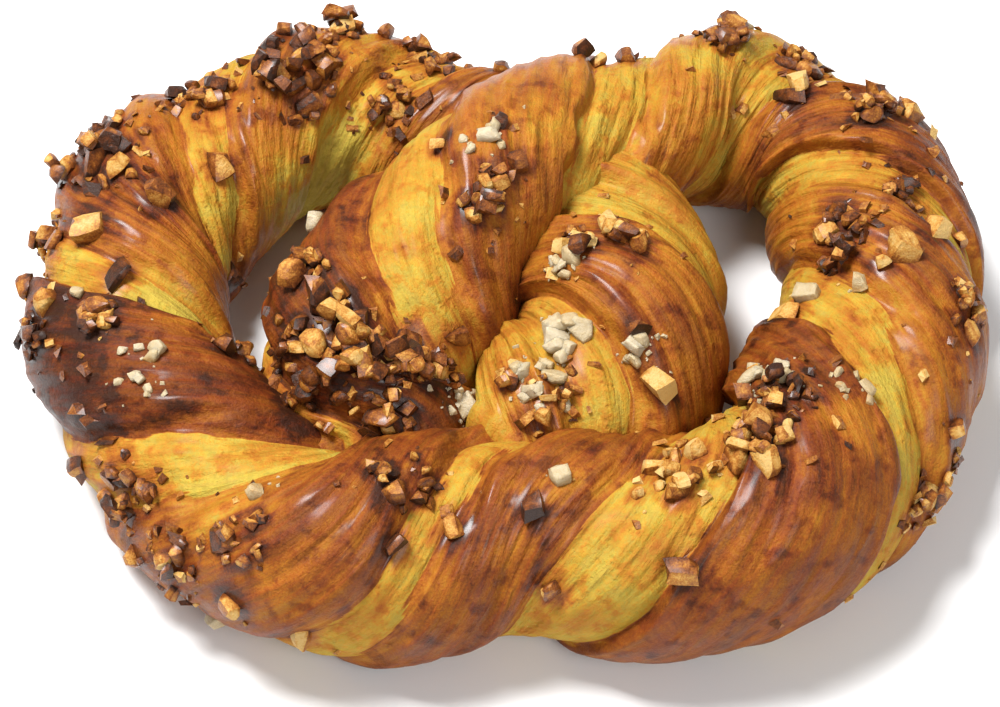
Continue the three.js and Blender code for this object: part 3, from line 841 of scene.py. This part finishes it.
def sums(tree, operation, first, second, third=None, clamp=False):
    """A Math node's output."""
    inputs = {0: first, 1: second}
    if third is not None:
        inputs[2] = third
    return add(tree, "ShaderNodeMath", inputs, operation=operation, use_clamp=clamp).outputs[0]


def between(tree, value, low, high, to_low=0.0, to_high=1.0):
    """A Map Range node's output, smooth at both ends."""
    return add(tree, "ShaderNodeMapRange", {
        "Value": value, "From Min": low, "From Max": high, "To Min": to_low, "To Max": to_high},
        interpolation_type="SMOOTHSTEP").outputs["Result"]


def attribute(tree, name, output="Fac"):
    """What a mesh attribute holds at the spot being shaded."""
    return add(tree, "ShaderNodeAttribute", attribute_name=name).outputs[output]


# %% More helpers for nodes
def colour_ramp(tree, value, stops):
    """A Color Ramp over a row of (position, colour) stops."""
    node = add(tree, "ShaderNodeValToRGB", {"Fac": value})
    elements = node.color_ramp.elements
    while len(elements) < len(stops):
        elements.new(0.5)
    for element, (position, colour) in zip(elements, stops):
        element.position = position
        element.color = (*colour, 1)
    return node.outputs["Color"]


def new_group(name, inputs, outputs):
    """A shader node group with the named sockets, and its two end nodes."""
    tree = bpy.data.node_groups.new(name, "ShaderNodeTree")
    for label, (kind, value) in inputs.items():
        socket = tree.interface.new_socket(label, in_out="INPUT", socket_type=kind)
        socket.default_value = value
    for label, kind in outputs.items():
        tree.interface.new_socket(label, in_out="OUTPUT", socket_type=kind)
    return tree, tree.nodes.new("NodeGroupInput"), tree.nodes.new("NodeGroupOutput")


def swung(tree, source, amount, onto, clamp=False):
    """Onto plus amount times how far a noise is from its middle, one half."""
    centred = sums(tree, "SUBTRACT", source, 0.5)
    return sums(tree, "MULTIPLY_ADD", centred, amount, onto, clamp=clamp)


print("helpers for nodes are ready")


# %% [markdown]
# The fine grain is shared by dough, nuts and sugar: a coarse mottle, a fine one, and a height made
# of both. On the dough its vector is the grain attribute, so it runs along the strands.

# %% The grain group
FLOAT, VECTOR = "NodeSocketFloat", "NodeSocketVector"
FINER_BY = 4.0
FINE_HEIGHT = 0.35
grain_group, inp, out = new_group(
    "Grain", {"Vector": (VECTOR, (0, 0, 0)), "Cell": (FLOAT, 2 * MM), "Roughness": (FLOAT, 0.6)},
    {"Streak": FLOAT, "Fine": FLOAT, "Height": FLOAT})
scale = sums(grain_group, "DIVIDE", 1.0, inp.outputs["Cell"])
coarse = add(grain_group, "ShaderNodeTexNoise", {
    "Vector": inp.outputs["Vector"], "Scale": scale, "Detail": 4.0,
    "Roughness": inp.outputs["Roughness"]})
finer = add(grain_group, "ShaderNodeTexNoise", {
    "Vector": inp.outputs["Vector"], "Scale": sums(grain_group, "MULTIPLY", scale, FINER_BY),
    "Detail": 3.0, "Roughness": inp.outputs["Roughness"]})
grain_group.links.new(coarse.outputs["Fac"], out.inputs["Streak"])
grain_group.links.new(finer.outputs["Fac"], out.inputs["Fine"])
height = sums(grain_group, "MULTIPLY_ADD", finer.outputs["Fac"], FINE_HEIGHT, coarse.outputs["Fac"])
grain_group.links.new(height, out.inputs["Height"])


def grain_of(tree, vector, cell, roughness):
    """The outputs of the grain group placed in a material, with its cell in mm."""
    return add(tree, "ShaderNodeGroup", {"Vector": vector, "Cell": cell * MM, "Roughness": roughness},
               node_tree=grain_group).outputs


print("grain group", len(grain_group.nodes), "nodes")

# %% [markdown]
# Browning first. It is one number from 0, raw yellow, to 1, nearly burnt. A ramp turns it into the
# colours of the real crust, which go from yellow through gold and tan to a red-brown.

# %% The colours of browning
BROWNING = [
    (0.00, (0.405, 0.300, 0.042)),
    (0.12, (0.405, 0.238, 0.024)),
    (0.26, (0.375, 0.168, 0.016)),
    (0.40, (0.320, 0.118, 0.011)),
    (0.55, (0.225, 0.070, 0.008)),
    (0.70, (0.150, 0.040, 0.006)),
    (0.85, (0.080, 0.020, 0.004)),
    (1.00, (0.034, 0.011, 0.004)),
]
material, tree, shader = new_material("baked dough")
vector = attribute(tree, "grain", "Vector")
squat = add(tree, "ShaderNodeMapping", {"Vector": vector, "Scale": (1, 1, 2.5)}).outputs["Vector"]
position = add(tree, "ShaderNodeTexCoord").outputs["Object"]
broad = grain_of(tree, vector, 5, 0.5)
streaks = grain_of(tree, vector, 2.2, 0.65)
thin_streaks = grain_of(tree, vector, 0.8, 0.6)
crinkles = grain_of(tree, squat, 2.6, 0.6)
folds = grain_of(tree, squat, 3.2, 0.4)
blotches = grain_of(tree, position, 8, 0.6)
spots = grain_of(tree, position, 3.5, 0.5)
pores = grain_of(tree, position, 1.5, 0.7)
print("browning stops", len(BROWNING))

# %% [markdown]
# How far a spot lies inside the crust comes from the mesh, in mm. The grain makes that edge ragged.
# From it come the lip, which is the thin edge itself, the depth, which is a share of the band's
# fade, and a dark rim along the edge, which is partly the thin torn edge baked darker and partly
# painted shade on the step of the flap. Melted sugar is found in the same way, from the nearness
# of nuts.

# %% Crust, rim with painted shade, and melted sugar
EDGE_BY_STREAKS, EDGE_BY_CRINKLES = 6.0, 4.0      # mm
SYRUP_BY_CRINKLES = 1.2
LIP_SHARE, DEPTH_SHARE = 0.3, 0.7
RIM_AND_STEP_SHADE = 0.5
ragged = swung(tree, streaks["Streak"], EDGE_BY_STREAKS, attribute(tree, "edge"))
ragged = swung(tree, crinkles["Streak"], EDGE_BY_CRINKLES, ragged)
lip = between(tree, ragged, -0.4, 0.4)
depth = between(tree, sums(tree, "DIVIDE", ragged, attribute(tree, "fade")), -0.15, 1.0)
crusted = sums(tree, "MULTIPLY_ADD", lip, LIP_SHARE, sums(tree, "MULTIPLY", depth, DEPTH_SHARE))
# the rim darkens the crust along its edge: partly a thin edge baked darker, partly painted shade on the
# step of the flap
rim_and_step_shade = sums(tree, "MULTIPLY", lip, between(tree, ragged, 0.4, 2.2, RIM_AND_STEP_SHADE, 0.0))
sticky = swung(tree, crinkles["Streak"], SYRUP_BY_CRINKLES, attribute(tree, "caramel"))
sticky = between(tree, sticky, 0.25, 0.95)
print("edge, rim and syrup:", len(tree.nodes), "nodes so far")

# %% [markdown]
# Browning adds up: a little everywhere, the band's own over its crust and over its rim, which is
# partly painted shade, melted sugar, toasted spots, the patches, two of them painted light, and
# every grain by its amount. The crust varies more than the yellow.

# %% How brown each spot is
BARE_YELLOW = 0.13
MELTED = 0.32
TOASTED = 0.20
YELLOW_SWING = 0.85
AMOUNTS = [(broad["Streak"], 0.40), (streaks["Streak"], 0.14), (thin_streaks["Streak"], 0.06),
           (blotches["Streak"], 0.80), (crinkles["Streak"], 0.45), (pores["Fine"], 0.35),
           (pores["Streak"], 0.40)]
toned = sums(tree, "MULTIPLY_ADD", crusted, attribute(tree, "bake"), BARE_YELLOW)
toned = sums(tree, "MULTIPLY_ADD", rim_and_step_shade, attribute(tree, "bake"), toned)
toned = sums(tree, "MULTIPLY_ADD", sticky, MELTED, toned)
toned = sums(tree, "ADD", between(tree, spots["Streak"], 0.52, 0.70, 0.0, TOASTED), toned)
# the patches add or take away browning; the last two are painted light, paler where the dough lies in
# shade
toned = sums(tree, "ADD", attribute(tree, "patch_and_painted_light"), toned)
swing = between(tree, crusted, 0.0, 0.6, YELLOW_SWING, 1.0)
for source, amount in AMOUNTS:
    part = sums(tree, "MULTIPLY", sums(tree, "SUBTRACT", source, 0.5), amount)
    toned = sums(tree, "MULTIPLY_ADD", part, swing, toned)
toned = sums(tree, "ADD", toned, 0.0, clamp=True)
print("things that brown the dough", 5 + len(AMOUNTS))

# %% [markdown]
# The ramp's colour leans a little to orange in places, and is darker in the dips and lighter on
# the tops of the pores' bump, which is painted shade and painted light.
# Egg glaze is a clear coat: it lies in thin patches on the crust, and syrup makes more of it round
# the heaps. The yellow crumb is rough and carries almost none.

# %% Colour and glaze
GLAZE_ON_CRUST, GLAZE_ON_YELLOW, GLAZE_OF_SYRUP = 0.22, 0.03, 0.25
hue = between(tree, broad["Fine"], 0.3, 0.7, 0.487, 0.500)
# painted shade and light: the pores' bump noise makes the colour darker in its dips and lighter on its
# tops
pore_shade_and_light = between(tree, pores["Streak"], 0.3, 0.7, 0.86, 1.12)
tinted = add(tree, "ShaderNodeHueSaturation", {
    "Hue": hue, "Value": pore_shade_and_light, "Color": colour_ramp(tree, toned, BROWNING)}).outputs["Color"]
tree.links.new(tinted, shader.inputs["Base Color"])
open_pores = sums(tree, "ADD", crusted, sums(tree, "SUBTRACT", pores["Streak"], 0.5))
tree.links.new(between(tree, open_pores, 0.1, 0.9, 0.68, 0.5), shader.inputs["Roughness"])
patchy = between(tree, sums(tree, "ADD", blotches["Streak"], crinkles["Streak"]), 0.85, 1.15)
glazed = sums(tree, "MULTIPLY_ADD", crusted, GLAZE_ON_CRUST, GLAZE_ON_YELLOW)
glazed = sums(tree, "MULTIPLY", glazed, patchy)
glazed = sums(tree, "MULTIPLY_ADD", sticky, GLAZE_OF_SYRUP, glazed, clamp=True)
tree.links.new(glazed, shader.inputs["Coat Weight"])
shader.inputs["Coat Roughness"].default_value = 0.22
shader.inputs["Specular IOR Level"].default_value = 0.1
shader.inputs["Subsurface Weight"].default_value = 0.08
shader.inputs["Subsurface Radius"].default_value = (1.0, 0.5, 0.2)
shader.inputs["Subsurface Scale"].default_value = 1.5 * MM
print("baked dough", len(tree.nodes), "nodes so far")

# %% [markdown]
# Relief finer than the mesh is a bump: soft folds, streaks, crinkles and pores, and in the open
# yellow crumb small round pits from a Voronoi texture, whose distance is 0 in each cell's middle.

# %% The dough's bumps
PIT_CELL = 1.3 * MM
PIT_DEPTH = 0.25
HEIGHTS = [(folds["Streak"], 2.2), (streaks["Streak"], 0.35), (crinkles["Streak"], 0.6),
           (pores["Streak"], 0.6), (pores["Fine"], 0.12), (thin_streaks["Streak"], 0.07)]
cells = add(tree, "ShaderNodeTexVoronoi", {"Vector": position, "Scale": 1 / PIT_CELL})
pits = between(tree, cells.outputs["Distance"], 0.1, 0.42, -1.0, 0.0)
pits = sums(tree, "MULTIPLY", pits, sums(tree, "SUBTRACT", 1.0, lip))
pits = sums(tree, "MULTIPLY", pits, between(tree, spots["Streak"], 0.45, 0.6))
bumps = 0.0
for source, amount in HEIGHTS:
    bumps = sums(tree, "MULTIPLY_ADD", source, amount, bumps)
bumps = sums(tree, "MULTIPLY_ADD", pits, PIT_DEPTH, bumps)


def bump_from(tree, shader, height, distance, strength):
    """A Bump node for a height in shares of the distance, which is in mm, on the shader's Normal."""
    node = add(tree, "ShaderNodeBump", {
        "Height": height, "Distance": distance * MM, "Strength": strength})
    tree.links.new(node.outputs["Normal"], shader.inputs["Normal"])


bump_from(tree, shader, bumps, distance=0.6, strength=1.0)
dough.data.materials.append(material)
print(material.name, len(tree.nodes), "nodes")

# %% [markdown]
# Toasted nuts go from cream through orange-brown to black-brown, by the same idea: the tone from
# the mesh, mottled by the grain, picks the colour. The darker a piece, the more syrup it wears, so
# its coat grows with the tone. The crumbs are nut too and share the finish.

# %% The nuts' finish
NUT_COLOURS = [
    (0.00, (0.58, 0.375, 0.130)),
    (0.20, (0.50, 0.265, 0.060)),
    (0.38, (0.35, 0.135, 0.020)),
    (0.56, (0.20, 0.058, 0.009)),
    (0.78, (0.09, 0.023, 0.005)),
    (1.00, (0.030, 0.010, 0.004)),
]
material, tree, shader = new_material("toasted nut")
flesh = grain_of(tree, add(tree, "ShaderNodeTexCoord").outputs["Object"], 1.2, 0.6)
tone = sums(tree, "ADD", attribute(tree, "tone"), attribute(tree, "side"))
for source, amount in ((flesh["Streak"], 0.8), (flesh["Fine"], 0.4)):
    tone = swung(tree, source, amount, tone)
tone = sums(tree, "ADD", tone, 0.0, clamp=True)
tree.links.new(colour_ramp(tree, tone, NUT_COLOURS), shader.inputs["Base Color"])
tree.links.new(between(tree, tone, 0.2, 0.8, 0.6, 0.4), shader.inputs["Roughness"])
tree.links.new(between(tree, tone, 0.2, 0.7, 0.05, 0.4), shader.inputs["Coat Weight"])
shader.inputs["Coat Roughness"].default_value = 0.25
shader.inputs["Specular IOR Level"].default_value = 0.2
shader.inputs["Subsurface Weight"].default_value = 0.1
shader.inputs["Subsurface Radius"].default_value = (1.0, 0.5, 0.2)
shader.inputs["Subsurface Scale"].default_value = 1.0 * MM
bump_from(tree, shader, flesh["Height"], distance=0.35, strength=0.8)
nuts.data.materials.append(material)
crumbs.data.materials.append(material)
print(material.name, len(tree.nodes), "nodes")

# %% [markdown]
# Pearl sugar is white, but never pure white on a baked thing: it is warm cream, and melts to amber
# where it touches the crust. Light goes deep into it, which is subsurface scattering, and that is
# what keeps it from looking like plaster.

# %% The sugar's finish
SUGAR_COLOURS = [
    (0.00, (0.49, 0.41, 0.28)),
    (0.45, (0.43, 0.33, 0.18)),
    (1.00, (0.36, 0.19, 0.05)),
]
material, tree, shader = new_material("pearl sugar")
grains = grain_of(tree, add(tree, "ShaderNodeTexCoord").outputs["Object"], 0.9, 0.65)
melted = swung(tree, grains["Streak"], 0.9, attribute(tree, "tone"), clamp=True)
tree.links.new(colour_ramp(tree, melted, SUGAR_COLOURS), shader.inputs["Base Color"])
shader.inputs["Roughness"].default_value = 0.45
shader.inputs["Subsurface Weight"].default_value = 0.35
shader.inputs["Subsurface Radius"].default_value = (1.0, 0.85, 0.6)
shader.inputs["Subsurface Scale"].default_value = 1.5 * MM
bump_from(tree, shader, grains["Height"], distance=0.35, strength=0.8)
sugar.data.materials.append(material)
sugar_grains.data.materials.append(material)
print(material.name, len(tree.nodes), "nodes")

# %% [markdown]
# The stage is a plain pale floor, large enough for every view, with soft light: a wide panel
# over the pretzel for the glints, a weaker one from the front, and a pale sky for the shadows.

# %% The floor
FLOOR_HALF = 3.0
FLOOR_GREY = 0.86
corners = [(-FLOOR_HALF, -FLOOR_HALF, 0), (FLOOR_HALF, -FLOOR_HALF, 0),
           (FLOOR_HALF, FLOOR_HALF, 0), (-FLOOR_HALF, FLOOR_HALF, 0)]
floor_mesh = bpy.data.meshes.new("floor")
floor_mesh.from_pydata(corners, [], [(0, 1, 2, 3)])
floor = bpy.data.objects.new("floor", floor_mesh)
bpy.context.scene.collection.objects.link(floor)
material, tree, shader = new_material("pale floor")
shader.inputs["Base Color"].default_value = (FLOOR_GREY, FLOOR_GREY, FLOOR_GREY, 1)
shader.inputs["Roughness"].default_value = 0.9
floor_mesh.materials.append(material)
print("floor", 2 * FLOOR_HALF, "m square")


# %% The lights
def area_light(name, position, size, power):
    """A square light panel at a position, turned to face the pretzel at the origin."""
    light = bpy.data.lights.new(name, "AREA")
    light.size = size
    light.energy = power
    lamp = bpy.data.objects.new(name, light)
    lamp.location = position
    lamp.rotation_euler = (-Vector(position)).to_track_quat("-Z", "Y").to_euler()
    bpy.context.scene.collection.objects.link(lamp)
    print(name, power, "W")


area_light("top panel", (-0.25, 0.1, 0.7), size=0.26, power=11.0)
area_light("front panel", (0.3, -0.6, 0.6), size=0.4, power=3.5)
world = bpy.data.worlds.new("pale room")
world.use_nodes = True
sky = world.node_tree.nodes["Background"].inputs
sky["Color"].default_value = (1, 1, 1, 1)
sky["Strength"].default_value = 0.28
bpy.context.scene.world = world
bpy.context.scene.view_settings.view_transform = "Standard"

# %% [markdown]
# The camera looks down at the pretzel as in the photo. A long lens from half a metre away keeps the
# far side almost as large as the near one. The angle was found from the outline: a steeper view
# would show the holes rounder, and a lower one would close them.

# %% The camera
CAMERA_ELEVATION = math.radians(52)
CAMERA_DISTANCE = 460 * MM
LENS, SENSOR = 100, 36
NEAREST_SEEN = 0.01
target = Vector((-1.1, -5.4, 14)) * MM
camera_data = bpy.data.cameras.new("camera")
camera_data.lens = LENS
camera_data.sensor_width = SENSOR
camera_data.clip_start = NEAREST_SEEN
camera = bpy.data.objects.new("camera", camera_data)
back = Vector((0, -math.cos(CAMERA_ELEVATION), math.sin(CAMERA_ELEVATION)))
camera.location = target + back * CAMERA_DISTANCE
camera.rotation_euler = (-back).to_track_quat("-Z", "Y").to_euler()
bpy.context.scene.collection.objects.link(camera)
bpy.context.scene.camera = camera
print("camera at", [round(value, 3) for value in camera.location])
